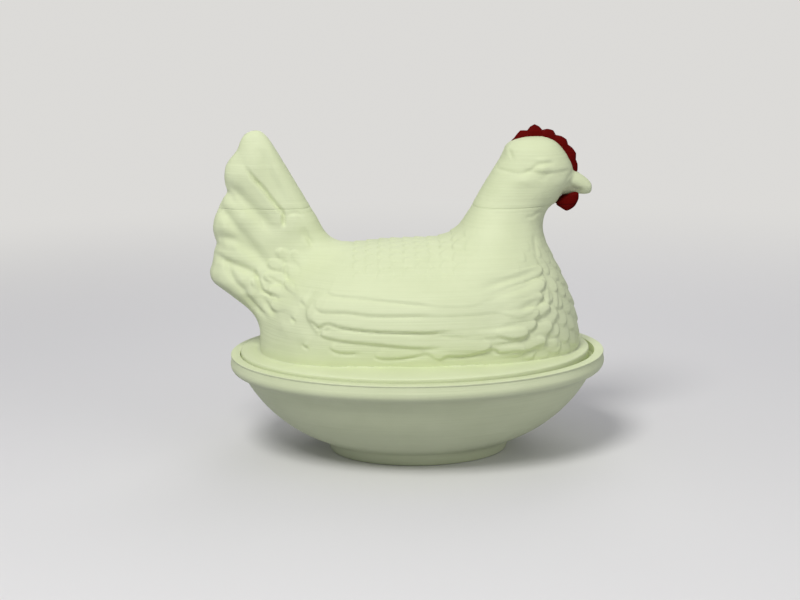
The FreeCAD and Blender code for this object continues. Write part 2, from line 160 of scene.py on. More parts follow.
# Feather edges: strength, then the run in x and z. The side to the left of each line's
# run stands proud.
FEATHER_EDGES = [
    (0.9, [(-39.7, 79.2), (-37.6, 77.9), (-33.9, 76.9), (-21.6, 76), (-8, 74.7), (9.2, 73.3)]),
    (0.9, [(-42.9, 72.4), (-41.3, 70.8), (-37.2, 70.6), (-29.8, 70.7), (-17.6, 69.7), (9, 69.8)]),
    (1.5, [(-47, 67.6), (-44.2, 66.1), (-41.8, 64.6), (-38, 66), (-31.5, 64.7), (-17.7, 63.4), (2.5, 62.8),
           (18, 63.1)]),
    (1.5, [(-40.5, 64.5), (-41.6, 62.1), (-40.2, 60.5), (-33.3, 59.3), (-21.9, 58.2), (2.5, 56.1),
           (12, 56.8)]),
    (1.2, [(9.8, 50.6), (11.9, 52.4), (18.1, 52.2), (24.6, 52.8), (31.2, 54.7), (34.7, 52.9), (41, 52.9),
           (46.9, 52.3), (51.9, 54.1), (55.1, 56.8)]),
    (1.2, [(31.6, 60.7), (35.6, 59.3), (40.1, 58.2), (44.6, 58.6), (47.8, 61.9)]),
    (1.3, [(-50.8, 74.4), (-49.3, 73.4), (-47.8, 72.8)]),
    (2.0, [(-54.9, 67.8), (-53.5, 66.4), (-52, 66.1)]),
    (1.5, [(-49.8, 57.2), (-48.6, 55.9), (-46.3, 55.1)]),
    (1.3, [(-38.4, 57), (-37.4, 55.6), (-35, 54.2), (-30.1, 53.8), (-22.8, 54.2)]),
    (1.1, [(-19, 53.8), (-17.5, 52), (-13.9, 51.3), (-5.7, 51.8), (2.4, 53.2), (7, 54.4)]),
    (4.2, [(-58.1, 102.8), (-58.2, 105.8), (-58.3, 108.7), (-59.4, 110.6), (-61.8, 113.2), (-64.6, 116.9),
           (-67.4, 120.6), (-70.2, 123.6), (-73.4, 128), (-75.8, 130.9)]),
    (2.8, [(-71.8, 85.2), (-70.1, 81.5), (-69.1, 78.5), (-67.7, 75.5), (-64.9, 74.3), (-61.9, 73.9),
           (-59.8, 71.6)]),
    (1.0, [(-49.1, 106.9), (-51.6, 108.9), (-54.7, 108.8), (-57.3, 106.4)]),
    (1.4, [(-52.3, 79.1), (-54.7, 80.2), (-57.6, 82.2), (-57.5, 85.2), (-58.6, 88.8), (-60.6, 91.1)]),
    (1.4, [(-58.5, 78.7), (-62.7, 80.1), (-66, 82.2)]),
    (0.9, [(-45.4, 93.9), (-46.6, 96.8), (-48.8, 99.8)]),
]

# Soft valleys between feathers: depth, width, then the run in x and z.
FEATHER_VALLEYS = [
    (2.0, 3.0, [(-87, 124), (-81.3, 119.7), (-77, 116.3), (-73.5, 112.6), (-69.3, 108.1), (-65.7, 104.4),
                (-60, 99)]),
    (1.4, 2.2, [(-91, 116), (-87.2, 112.2), (-83.4, 108.5), (-79.5, 103.3), (-75.3, 98.8), (-70.4, 93.5),
                (-64, 88)]),
    (1.6, 2.4, [(-93, 99.4), (-87, 98.4), (-79.8, 97.5), (-74.3, 93.6), (-68.1, 88.9), (-61, 84.4)]),
    (1.5, 1.6, [(-93, 92.4), (-87.9, 90.2), (-83.6, 88), (-77.8, 86), (-73.5, 84.1), (-70.6, 81.8),
                (-68.6, 77.3)]),
    (1.4, 1.6, [(-84.5, 91), (-83.3, 86.5), (-81.6, 82), (-78.1, 77.4), (-74.5, 75.9), (-71, 76)]),
    (1.5, 1.4, [(-78.8, 79), (-76.5, 75.6), (-73.7, 71.1), (-70.9, 67.3), (-67.3, 65), (-64, 63.5)]),
    (1.1, 1.2, [(-68.5, 74), (-67.1, 71.7), (-65, 67.9), (-62.1, 67.2), (-60, 67)]),
    (0.9, 1.5, [(-51, 104), (-48.5, 99.8), (-46.5, 97), (-43, 92)]),
    (0.8, 2.4, [(-69, 140), (-66.4, 134.9), (-64.4, 128.3), (-61, 120.9), (-58.3, 115), (-56, 110)]),
    (0.8, 1.5, [(26, 76), (38.1, 77.6), (44.9, 79), (50.5, 80.8), (56, 83)]),
    (0.9, 1.5, [(24, 79), (42, 82.9), (50.5, 85), (57, 87)]),
    (0.8, 1.3, [(42, 70.6), (45, 71), (49.3, 72.3), (53.5, 72.8), (57, 73)]),
    (0.35, 0.9, [(56.4, 103), (57.4, 96), (58.2, 88)]),
    (0.35, 0.9, [(51.4, 101), (51.9, 94), (52.6, 87)]),
]

# Feathers on the shoulder and at the tail's root: tip x and z, the way they point in
# degrees, half-width, length and height.
LAID_FEATHERS = [
    (55.4, 79.8, 14, 3.6, 24, 2.0), (55.0, 85.2, 10, 3.0, 22, 1.5), (54.0, 74.4, 10, 3.0, 20, 1.8),
    (57.4, 69.6, 12, 3.2, 16, 1.7), (52.2, 68.2, 4, 3.2, 20, 2.1), (51.4, 63.8, 8, 3.0, 16, 1.7),
    (47.6, 60.4, 2, 3.6, 24, 2.0), (58.6, 62.2, 14, 3.6, 17, 1.5), (55.6, 56.2, 8, 3.2, 20, 1.8),
    (62.0, 66.2, 20, 3.2, 12, 1.2), (46.4, 53.4, -2, 3.2, 18, 1.4), (61.6, 54.8, 22, 3.4, 15, 1.2),
    (31.5, 56.6, -4, 3.4, 24, 1.1),
    (-66.0, 88.0, 165, 2.6, 11, 1.4), (-61.8, 93.0, 150, 2.6, 10, 1.2), (-67.4, 82.0, 175, 2.6, 12, 1.4),
    (-65.6, 75.8, 185, 2.4, 10, 1.3), (-60.0, 86.6, 160, 2.4, 9, 1.1), (-64.4, 69.2, 200, 2.6, 10, 1.2),
    (-58.4, 79.6, 170, 2.4, 9, 1.1), (-73.0, 80.5, 150, 2.4, 8, 0.9), (-55.2, 92.6, 140, 2.4, 9, 0.8),
]

# Rounded swellings: height, reach, then the middle in x and z.
FEATHER_SWELLINGS = [
    (0.7, 3.2, (-77, 80)), (0.8, 2.8, (-73.5, 74.5)), (0.8, 4.2, (-53, 104)), (0.6, 4.5, (-71, 131)),
    (0.8, 4.5, (-76, 126)), (0.8, 4.0, (-84.5, 104)), (0.8, 5.0, (-74, 107)), (0.6, 3.0, (-50, 76)),
    (0.6, 3.0, (-54, 70)), (0.6, 3.2, (-49, 60)), (0.5, 3.0, (-45, 70)), (0.6, 3.0, (-58, 63)),
]

# How far a point faces sideways before it takes the feathers of the hen's sides, and the
# heights between which the wing runs out at its top
SIDE_FACING = (0.12, 0.42)
WING_TOP = (84, 72)

# A feather's edge is a groove with a lip beside it, both as shares of its strength.
EDGE_GROOVE, EDGE_WIDTH, EDGE_LIP, EDGE_REACH, EDGE_EASE = 0.5, 0.7, 0.45, 4.5, (2.5, 10.0)
EDGE_LIP_STRENGTH = 1.5
VALLEY_REACH, VALLEY_EASE = 3.0, (12.0, 12.0)

# Scales: how far apart they lie down and across the hen, and how long each is, then how
# high they stand and how deep they are bedded.
BREAST_SCALES, BREAST_SCALE_HEIGHT, BREAST_SCALE_BED = (6.2, 7.6, 11.0), 1.1, 0.3
BACK_SCALES, BACK_SCALE_HEIGHT, BACK_SCALE_BED = (5.4, 7.2, 8.6), 0.95, 0.6

# Where the scales begin and where they are full: turns round the breast, then x or z.
BREAST_AXIS, BREAST_GIRTH, BREAST_LEAN = 22, 44.0, 32.0
BREAST_TURN, BREAST_FRONT, BREAST_FOOT, BREAST_TOP = (1.16, 0.96), (40, 48), (46, 50), (103, 75)
BREAST_START_TURN, BREAST_START_Z = 1.2, 112
BACK_FACING, BACK_FOOT, BACK_TOP = (0.5, 0.8), (82, 86), (112, 100)
BACK_REAR, BACK_FRONT, BACK_START_X = (-34, -28), (30, 14), 40

# The shoulder's fullness, highest in front, and the hollow at the tail's root
SHOULDER_HEIGHT, SHOULDER_FRONT_HEIGHT = 0.7, 0.9
SHOULDER_MIDDLE, SHOULDER_REACH = (32, 85), (14, 8)
SHOULDER_REAR, SHOULDER_FRONT = (-45, -25), (58, 44)
TAIL_ROOT_HOLLOW = (-0.9, (-58, 81), (10, 11))

# The beak: its root on the head, then slices as shares of its length, drop, height and width
BEAK_ROOT_SHARE = (0.458, 0.787)
BEAK_LENGTH, BEAK_HEIGHT, BEAK_WIDTH = 12.4, 12.8, 11.0
BEAK_NARROWING = 0.4
BEAK_SLICES = [
    (-0.5, -0.06, 1.08, 1.1), (0.0, -0.02, 1.0, 1.0), (0.25, 0.03, 0.89, 0.87), (0.5, 0.105, 0.76, 0.74),
    (0.7, 0.18, 0.65, 0.6), (0.85, 0.235, 0.52, 0.48), (0.95, 0.265, 0.36, 0.33), (0.99, 0.27, 0.15, 0.15),
]

# Lines on the beak in x and z: where it leaves the head, and the hollow below it.
BEAK_BORDER = [(71.2, 126.4), (68.1, 123.9), (66.3, 121.7), (65.9, 120.4)]
BEAK_UNDERCUT = [(67.0, 118.8), (68.4, 118.2), (70.2, 117.2), (72.8, 116.2), (74.6, 115.0)]

# The face: swellings for eye, cheek, brow and nape and a dent before the eye (height,
# middle and reach), then carved lines (depth and run in x and z), all off her middle.
FACE_OUT, FACE_REAR, FACE_FOOT = (2, 5), (33, 36), (103, 106)
FACE_SWELLINGS = [
    (1.1, (55.9, 127.9), (2.8, 1.7)), (0.8, (47.4, 122.8), (4.6, 2.4)), (0.5, (55.5, 131.6), (2.6, 1.0)),
    (-0.4, (63.0, 124.5), (3.0, 1.6)), (0.6, (40.6, 136.0), (2.2, 2.6)),
]
THROAT_SWELLING = (0.9, (62, 112.3), (3.5, 3.5))
FACE_LINES = [
    (0.55, [(46.0, 126.4), (49.1, 127.1), (51.3, 128.1), (52.7, 129.4), (54.9, 129.9), (57.8, 130.2),
            (61.2, 130.4)]),
    (0.45, [(34.6, 128.1), (37.5, 127.1), (40, 126.8), (43.3, 126), (46.9, 126), (50.5, 126.6),
            (53.4, 125.9), (56.3, 125.4), (59.1, 125.8), (64.2, 126.2), (68.6, 126.6)]),
    (0.3, [(52.4, 123.9), (54.9, 123.6), (58, 124.2)]),
    (0.5, [(40.8, 136.7), (41.8, 134.9), (42.1, 133.1), (43.6, 131.6)]),
    (0.4, [(46.5, 106.9), (49.5, 106.9), (51.3, 107.2), (53.5, 108.3), (57.4, 108.8)]),
]

# Level seams where the hen was laid down in layers: height and depth
SEAM_WIDTH = 0.45
LEVEL_SEAMS = [
    (131.0, 0.12), (120.0, 0.06), (114.0, 0.10), (110.8, 0.16), (109.0, 0.12), (104.0, 0.05), (93.0, 0.08),
]

# How the one skin is smoothed: all over, more at the beak's root, and most where the
# tail meets the back.
SKIN_SMOOTHING, SKIN_ROUNDS = 0.25, 6
BEAK_SMOOTHING, BEAK_MIDDLE, BEAK_REACH = 0.4, (66, 0, 120), 8
TAIL_SMOOTHING, TAIL_ROUNDS, TAIL_BLEND = 0.85, 220, (15.0, 3.0)
TAIL_FRONT_X, TAIL_BLEND_Z = -15, (50, 64)
CARVING_SMOOTHING = 0.15


# Curves, meshes and objects

def smoothed(rows, between, closed=False):
    """The rows with further ones on a smooth curve between each pair."""
    rows = np.array(rows, dtype=float)
    count = len(rows)
    spans = count if closed else count - 1
    full = []
    for i in range(spans):
        p = rows[i - 1] if closed or i > 0 else rows[0]
        q = rows[i]
        r = rows[(i + 1) % count]
        s = rows[(i + 2) % count] if closed else rows[min(i + 2, count - 1)]
        for t in np.arange(between) / between:
            bend = 2 * p - 5 * q + 4 * r - s
            twist = 3 * q - p - 3 * r + s
            full.append((2 * q + (r - p) * t + bend * t ** 2 + twist * t ** 3) / 2)
    if not closed:
        full.append(rows[-1])
    return np.array(full)


def smoothstep(x):
    """0 below 0, 1 above 1, and a smooth rise between them."""
    x = np.clip(x, 0, 1)
    return x * x * (3 - 2 * x)


def ramp(value, start, end):
    """0 at the start, 1 at the end and beyond, and a smooth rise between them."""
    return smoothstep((value - start) / (end - start))


def blunted(wave, power):
    """A cosine or sine raised to a power with its sign kept, for rounded oblongs."""
    return np.sign(wave) * np.abs(wave) ** power


def hen_point(x_share, z_share):
    """A point in the hen's middle plane, from shares of her length and height."""
    return np.array([HEN_FORWARD + HEN_LENGTH * x_share, 0, HEN_BASE + HEN_HEIGHT * z_share])


def grid_solid(rings):
    """Points and faces of a closed skin over rings of equal count, with flat ends."""
    rings = np.array(rings)
    rows, count = rings.shape[:2]
    faces = []
    for i in range(rows - 1):
        for j in range(count):
            k = (j + 1) % count
            faces.append((i * count + j, i * count + k, (i + 1) * count + k, (i + 1) * count + j))
    faces.append(tuple(range(count))[::-1])
    faces.append(tuple((rows - 1) * count + j for j in range(count)))
    return rings.reshape(-1, 3), faces


def add_object(name, data):
    """An object in the scene that holds a mesh, a lamp or a camera."""
    obj = bpy.data.objects.new(name, data)
    bpy.context.scene.collection.objects.link(obj)
    return obj


def mesh_object(name, points, edges, faces):
    """A mesh object at the origin, from points in millimetres."""
    mesh = bpy.data.meshes.new(name)
    mesh.from_pydata((np.asarray(points) * MM).tolist(), edges, faces)
    mesh.update()
    return add_object(name, mesh)


def turned_out(obj):
    """The closed piece with its faces turned outwards."""
    if signed_volume(obj.data) < 0:
        obj.data.flip_normals()
    return obj


def make_piece(name, points, faces):
    """A closed piece from points in millimetres, with its faces outwards."""
    return turned_out(mesh_object(name, points, [], faces))


def vertex_values(mesh, name):
    """Each vertex's place or normal, as rows of three."""
    flat = np.empty(len(mesh.vertices) * 3)
    mesh.vertices.foreach_get(name, flat)
    return flat.reshape(-1, 3)


def mesh_points(mesh):
    """A mesh's points in millimetres."""
    return vertex_values(mesh, "co") / MM


def put_points(mesh, points):
    """Moves a mesh's points to places given in millimetres."""
    mesh.vertices.foreach_set("co", (points * MM).ravel())
    mesh.update()


def signed_volume(mesh):
    """A multiple of a closed mesh's volume, below 0 where its faces point inwards."""
    mesh.calc_loop_triangles()
    corners = np.empty(len(mesh.loop_triangles) * 3, dtype=int)
    mesh.loop_triangles.foreach_get("vertices", corners)
    a, b, c = np.moveaxis(mesh_points(mesh)[corners.reshape(-1, 3)], 1, 0)
    return float((a * np.cross(b, c)).sum())


def settle(obj):
    """Turns the object's modifiers into a plain mesh of its own."""
    graph = bpy.context.evaluated_depsgraph_get()
    mesh = bpy.data.meshes.new_from_object(obj.evaluated_get(graph))
    if not mesh.polygons:
        raise RuntimeError(obj.name + " came out without a face")
    obj.modifiers.clear()
    obj.data = mesh
    mesh.name = obj.name


def combine(obj, other, operation):
    """A boolean of two closed pieces. The second piece is used up."""
    modifier = obj.modifiers.new(operation, "BOOLEAN")
    modifier.operation = operation
    modifier.solver = "MANIFOLD"
    modifier.object = other
    settle(obj)
    bpy.data.objects.remove(other)


def shade(obj, material):
    """Gives the piece its one material and smooth shading."""
    obj.data.materials.clear()
    obj.data.materials.append(material)
    obj.data.polygons.foreach_set("use_smooth", np.full(len(obj.data.polygons), True))
    obj.data.update()


# Node trees

def socket(tree, name, kind, side="INPUT"):
    """A named input or output of a node tree."""
    return tree.interface.new_socket(name, in_out=side, socket_type="NodeSocket" + kind)


def set_inputs(node, inputs):
    """Links each named input to a socket, or gives it a plain value."""
    for key, value in inputs.items():
        if isinstance(value, bpy.types.NodeSocket):
            node.id_data.links.new(value, node.inputs[key])
        else:
            node.inputs[key].default_value = value
    return node


def add_node(tree, kind, inputs=None, **settings):
    """A new node with its settings made first and its inputs after them."""
    node = tree.nodes.new(kind)
    for key, value in settings.items():
        setattr(node, key, value)
    return set_inputs(node, inputs or {})


def calculated(tree, operation, *values):
    """The outcome of a Math node on one or two values or sockets."""
    return add_node(tree, "ShaderNodeMath", dict(enumerate(values)), operation=operation).outputs[0]


def colour_mix(tree, factor, first, second):
    """A colour between two colours, by a factor from a socket."""
    inputs = {"Factor": factor, "A": (*first, 1), "B": (*second, 1)}
    return add_node(tree, "ShaderNodeMix", inputs, data_type="RGBA").outputs["Result"]


# Oval ware: profiles turned round an oval by one node tree

def arc(centre, radius, start, end, steps):
    """Points of reach and height on an ellipse, between two turns in degrees."""
    turns = np.radians(np.linspace(start, end, steps + 1))
    return [(centre[0] + radius[0] * math.cos(t), centre[1] + radius[1] * math.sin(t)) for t in turns]


def eased(points, radius, steps=5):
    """The profile with its corners rounded."""
    points = [np.array(p, dtype=float) for p in points]
    out = [points[0]]
    for before, corner, after in zip(points, points[1:], points[2:]):
        back = before - corner
        ahead = after - corner
        near = min(radius, np.linalg.norm(back) * 0.45, np.linalg.norm(ahead) * 0.45)
        a = corner + back / np.linalg.norm(back) * near
        b = corner + ahead / np.linalg.norm(ahead) * near
        for t in np.linspace(0, 1, steps + 1):
            out.append(a * (1 - t) ** 2 + corner * 2 * t * (1 - t) + b * t ** 2)
    out.append(points[-1])
    return out


def bowl_arc(inset=0, steps=BOWL_STEPS):
    """The bowl's wall from foot to rim as an arc of reach and height."""
    low = np.array([FOOT_REACH + FOOT_SPREAD, FOOT_HEIGHT])
    high = np.array([RIM_REACH - RIM_OVERHANG, ROLL_TOP - ROLL_HEIGHT])
    chord = high - low
    length = np.linalg.norm(chord)
    radius = (length ** 2 / 4 + BOWL_BULGE ** 2) / (2 * BOWL_BULGE)
    inward = np.array([-chord[1], chord[0]]) / length
    centre = (low + high) / 2 + inward * (radius - BOWL_BULGE)
    start = math.degrees(math.atan2(*(low - centre)[::-1]))
    end = math.degrees(math.atan2(*(high - centre)[::-1]))
    return arc(centre, (radius - inset, radius - inset), start, end, steps)


def dish_profile():
    """Reach and height from the middle of the underside round to the middle of the floor."""
    foot_inner = FOOT_REACH - FOOT_RING
    foot = [(0, FOOT_RECESS), (foot_inner, FOOT_RECESS), (foot_inner, 0), (FOOT_REACH, 0)]
    foot.append((FOOT_REACH + FOOT_SPREAD * FOOT_BEND[0], FOOT_HEIGHT * FOOT_BEND[1]))
    wall = bowl_arc()
    roll = ROLL_HEIGHT / 2
    rim = arc((RIM_REACH - ROLL_REACH, ROLL_TOP - roll), (ROLL_REACH, roll), *ROLL_TURNS, 16)
    ledge, groove, step = [RIM_REACH - inset for inset in (LEDGE_INSET, GROOVE_INSET, LEDGE_WIDTH)]
    lip = [rim[-1], *[(groove, RIM_TOP - depth) for depth in GROOVE_DEPTHS], (ledge, ROLL_TOP)]
    lip += [(ledge, RIM_TOP), (step, RIM_TOP), (step, SEAT_Z)]
    lip.append((RIM_REACH - RIM_OVERHANG - BOWL_WALL, SEAT_Z))
    inside = bowl_arc(BOWL_WALL, 20)[::-1]
    floor = [inside[-1], (foot_inner, FOOT_RECESS + BOWL_FLOOR), (0, FOOT_RECESS + BOWL_FLOOR)]
    outside = eased(foot + wall[:2], FOOT_EASE) + wall[2:-1] + rim[:-1]
    return outside + eased(lip + inside[:1], LEDGE_EASE) + inside[1:-1] + eased(floor, FLOOR_EASE)


def bowl_across(reach, height):
    """How far across the dish a profile point lies, from its reach and height."""
    foot_gap = FOOT_REACH - FOOT_ACROSS
    rim_gap = RIM_REACH - RIM_ACROSS
    inner = FOOT_REACH - FOOT_RING
    if reach < inner:
        return reach * (inner - foot_gap) / inner
    reaches, heights = zip(*bowl_arc())
    outer = np.interp(height, heights, reaches)
    share = (outer - reaches[0]) / (reaches[-1] - reaches[0])
    return reach - foot_gap - (rim_gap - foot_gap) * share


def plate_profile(reach, low_z, edge_z, rise):
    """A low oval mound: its underside, its upright edge and its crown."""
    low = [(0, low_z), (reach, low_z), (reach, edge_z)]
    shares = np.linspace(1, 0, 25)[1:]
    crown = [(reach * s, edge_z + rise * math.sqrt(1 - s * s)) for s in shares]
    return eased(low + crown[:1], PLATE_EASE) + crown[1:]


def oval_turning():
    """A node tree that turns a profile round an oval. Profile points hold the reach
    along, the reach across and the height."""
    tree = bpy.data.node_groups.new("oval turning", "GeometryNodeTree")
    for name, kind in (("Profile", "Geometry"), ("Steps Around", "Int"), ("Seat Shift", "Float"),
                       ("Material", "Material")):
        socket(tree, name, kind)
    socket(tree, "Geometry", "Geometry", "OUTPUT")
    given = add_node(tree, "NodeGroupInput").outputs
    size = add_node(tree, "GeometryNodeAttributeDomainSize", {"Geometry": given["Profile"]},
                    component="MESH")
    count = size.outputs["Point Count"]
    columns = calculated(tree, "ADD", given["Steps Around"], 1)
    grid = add_node(tree, "GeometryNodeMeshGrid", {"Vertices X": columns, "Vertices Y": count})
    index = add_node(tree, "GeometryNodeInputIndex").outputs[0]
    row = calculated(tree, "MODULO", index, count)
    column = calculated(tree, "FLOOR", calculated(tree, "DIVIDE", index, count))
    share = calculated(tree, "DIVIDE", column, given["Steps Around"])
    turn = calculated(tree, "MULTIPLY", share, 2 * math.pi)
    place = add_node(tree, "GeometryNodeInputPosition").outputs[0]
    sample = add_node(tree, "GeometryNodeSampleIndex",
                      {"Geometry": given["Profile"], "Value": place, "Index": row},
                      data_type="FLOAT_VECTOR", domain="POINT")
    profile = add_node(tree, "ShaderNodeSeparateXYZ", {0: sample.outputs["Value"]}).outputs
    along = calculated(tree, "MULTIPLY", calculated(tree, "COSINE", turn), profile["X"])
    across = calculated(tree, "MULTIPLY", calculated(tree, "SINE", turn), profile["Y"])
    shifted = calculated(tree, "ADD", along, given["Seat Shift"])
    joint = add_node(tree, "ShaderNodeCombineXYZ", {"X": shifted, "Y": across, "Z": profile["Z"]})
    moved = add_node(tree, "GeometryNodeSetPosition",
                     {"Geometry": grid.outputs["Mesh"], "Position": joint.outputs[0]})
    weld = add_node(tree, "GeometryNodeMergeByDistance",
                    {"Geometry": moved.outputs[0], "Distance": WELD_DISTANCE})
    real = add_node(tree, "GeometryNodeRealizeInstances", {0: weld.outputs[0]})
    paint = add_node(tree, "GeometryNodeSetMaterial",
                     {"Geometry": real.outputs[0], "Material": given["Material"]})
    add_node(tree, "NodeGroupOutput", {0: paint.outputs[0]})
    return tree


def turn_oval(name, profile, across, steps, material, shift=0.0):
    """An oval piece from its profile, turned by the node tree and then made plain."""
    points = [(reach, across(reach, height), height) for reach, height in profile]
    obj = mesh_object(name, points, [(i, i + 1) for i in range(len(points) - 1)], [])
    tree = bpy.data.node_groups.get("oval turning") or oval_turning()
    modifier = obj.modifiers.new("turning", "NODES")
    modifier.node_group = tree
    names = {item.name: item.identifier for item in tree.interface.items_tree}
    modifier[names["Steps Around"]] = steps
    modifier[names["Seat Shift"]] = shift * MM
    modifier[names["Material"]] = material
    settle(obj)
    return turned_out(obj)


# The hen's form

def rib(row, grow, sides):
    """One closed rib of the body, a rounded oblong that leans with the body's run."""
    back = hen_point(row[0], row[1])
    belly = hen_point(row[2], row[3])
    height = np.linalg.norm(back - belly)
    up = (back - belly) / height
    turn = np.linspace(0, 2 * math.pi, sides, endpoint=False)
    power = 2 / RIB_ROUNDNESS
    along = blunted(np.cos(turn), power) * (height / 2 + grow)
    across = blunted(np.sin(turn), power) * (row[4] * HEN_WIDTH / 2 + grow)
    return (back + belly) / 2 + np.outer(along, up) + np.outer(across, Y_AXIS)


def body_skin(rows, grow, between, sides):
    """A closed skin over the ribs, grown outwards or, below 0, inwards."""
    return grid_solid([rib(row, grow, sides) for row in smoothed(rows, between)])


def edge_reach(outline, heart, turns):
    """How far an outline lies from a point inside it, along each turn."""
    a = outline - heart
    b = np.roll(a, -1, axis=0)
    reach = np.zeros(len(turns))
    for i, t in enumerate(turns):
        d = np.array([math.cos(t), math.sin(t)])
        e = b - a
        cross = d[0] * e[:, 1] - d[1] * e[:, 0]
        cross[np.abs(cross) < TINY] = TINY
        distance = (a[:, 0] * e[:, 1] - a[:, 1] * e[:, 0]) / cross
        share = (a[:, 0] * d[1] - a[:, 1] * d[0]) / cross
        met = (distance > 0) & (share >= 0) & (share <= 1)
        reach[i] = distance[met].max()
    return reach


def outline_distance(points, outline, closed=True):
    """For each point, its distance from a line, its side (left is positive) and its
    place along the line from 0 to 1, and then the line's length."""
    start = outline if closed else outline[:-1]
    step = (np.roll(outline, -1, axis=0) if closed else outline[1:]) - start
    length = np.linalg.norm(step, axis=1)
    run = np.concatenate([[0], np.cumsum(length)])
    best = np.full(len(points), np.inf)
    side = np.zeros(len(points))
    along = np.zeros(len(points))
    for i in np.flatnonzero(length > TINY):
        offset = points - start[i]
        share = np.clip(offset @ step[i] / length[i] ** 2, 0, 1)
        gap = offset - share[:, None] * step[i]
        distance = np.hypot(gap[:, 0], gap[:, 1])
        nearer = distance < best
        best[nearer] = distance[nearer]
        cross = step[i][0] * offset[:, 1] - step[i][1] * offset[:, 0]
        side[nearer] = np.sign(cross)[nearer]
        along[nearer] = ((run[i] + share * length[i]) / run[-1])[nearer]
    return best, side, along, run[-1]


def inside_outline(points, outline):
    """Which points lie inside a closed outline."""
    x, z = points[:, 0], points[:, 1]
    odd = np.zeros(len(points), dtype=bool)
    for (ax, az), (bx, bz) in zip(outline, np.roll(outline, -1, axis=0)):
        spans = (az > z) != (bz > z)
        with np.errstate(divide="ignore", invalid="ignore"):
            crossing = ax + (z - az) * (bx - ax) / (bz - az)
        odd ^= spans & (x < crossing)
    return odd


def cushion(outline, heart, half_at, profile, count=360, layers=40):
    """A closed skin of two rounded faces that meet round a star-shaped outline. Its
    half-thickness comes from the height, and its fullness from the share of the way
    from the heart to the outline."""
    heart = np.array(heart)
    turns = np.linspace(0, 2 * math.pi, count, endpoint=False)
    reach = edge_reach(outline, heart, turns)
    around = np.column_stack([np.cos(turns), np.sin(turns)]) * reach[:, None]
    places, fullness = zip(*profile)
    sheets = []
    for share in np.sin(np.linspace(0, math.pi / 2, layers)[1:]):
        ring = heart + around * share
        sheets.append((ring, half_at(ring[:, 1]) * np.interp(share, places, fullness)))
    rings = [np.column_stack([ring[:, 0], -half, ring[:, 1]]) for ring, half in sheets]
    rings += [np.column_stack([ring[:, 0], half, ring[:, 1]]) for ring, half in sheets[-2::-1]]
    return grid_solid(rings)


def tail_skin():
    """The fanned tail, thin at its lobed edge and thicker towards its root."""
    heights, halves = zip(*TAIL_THICKNESS)
    outline = smoothed(TAIL_OUTLINE, 3, closed=True)
    return cushion(outline, TAIL_HEART, lambda z: np.interp(z, heights, halves), TAIL_CUSHION)


def beak_skin():
    """The beak, rounded above and narrower below, with its tip bent down."""
    root = hen_point(*BEAK_ROOT_SHARE)
    turn = np.linspace(0, 2 * math.pi, 32, endpoint=False)
    rings = []
    for along, drop, tall, wide in smoothed(BEAK_SLICES, 4):
        centre = root + np.array([along * BEAK_LENGTH, 0, -drop * BEAK_HEIGHT])
        up = np.cos(turn) * tall * BEAK_HEIGHT / 2
        narrowed = np.sin(turn) * (1 + BEAK_NARROWING * np.minimum(np.cos(turn), 0))
        out = narrowed * wide * BEAK_WIDTH / 2
        rings.append(centre + np.outer(up, [0, 0, 1]) + np.outer(out, Y_AXIS))
    return grid_solid(rings)


def joined(skins):
    """The points and faces of several closed skins together."""
    points, faces, start = [], [], 0
    for some_points, some_faces in skins:
        points.append(some_points)
        faces += [tuple(start + i for i in face) for face in some_faces]
        start += len(some_points)
    return np.concatenate(points), faces


def neighbours(mesh):
    """The two ends of every edge of a mesh."""
    pairs = np.empty(len(mesh.edges) * 2, dtype=int)
    mesh.edges.foreach_get("vertices", pairs)
    return pairs.reshape(-1, 2)


def relax(points, pairs, weight, rounds):
    """Moves each point towards the middle of its neighbours, by its weight."""
    kept = pairs[(weight[pairs] > 0).any(axis=1)]
    nodes = np.unique(kept)
    a, b = np.searchsorted(nodes, kept).T
    ends, others = np.concatenate([a, b]), np.concatenate([b, a])
    share = (weight[nodes] / np.bincount(ends))[:, None]
    local = points[nodes]
    for _ in range(rounds):
        total = np.column_stack([np.bincount(ends, (local[others, k] - local[ends, k])) for k in range(3)])
        local = local + total * share
    points = points.copy()
    points[nodes] = local
    return points


def gap_to(points, skin):
    """How far each point lies from a skin."""
    tree = BVHTree.FromPolygons(skin[0].tolist(), skin[1])
    return np.array([tree.find_nearest(point)[3] for point in points.tolist()])


def ball(points, centre, radius):
    """1 at the centre of a ball, falling smoothly to 0 at its radius."""
    return smoothstep(1 - np.linalg.norm(points - np.array(centre), axis=1) / radius)


# Relief on the hen, worked out on a chart of x and z and given in millimetres

def edge_relief(chart, line, depth, width, lip, reach, ease):
    """A groove along a line, with the ground on the line's left raised to a lip. The
    groove comes in and runs out over the two lengths in ease."""
    curve = smoothed(line, 5)
    low = curve.min(axis=0) - reach * 3
    high = curve.max(axis=0) + reach * 3
    near = ((chart > low) & (chart < high)).all(axis=1)
    relief = np.zeros(len(chart))
    if not near.any():
        return relief
    gap, side, along, length = outline_distance(chart[near], curve, closed=False)
    fade = smoothstep(along * length / min(ease[0], 0.4 * length))
    fade = fade * smoothstep((1 - along) * length / min(ease[1], 0.4 * length))
    signed = gap * side
    groove = -depth * np.exp(-(gap / width) ** 2)
    raised = lip * np.exp(-np.clip(signed, 0, None) / reach) * smoothstep(signed / 0.9 + 0.25)
    relief[near] = fade * (groove + raised)
    return relief


def swelling(chart, height, middle, reach):
    """A rounded swelling, or a hollow where its height is below 0."""
    return height * np.exp(-(((chart - np.array(middle)) / reach) ** 2).sum(axis=1))


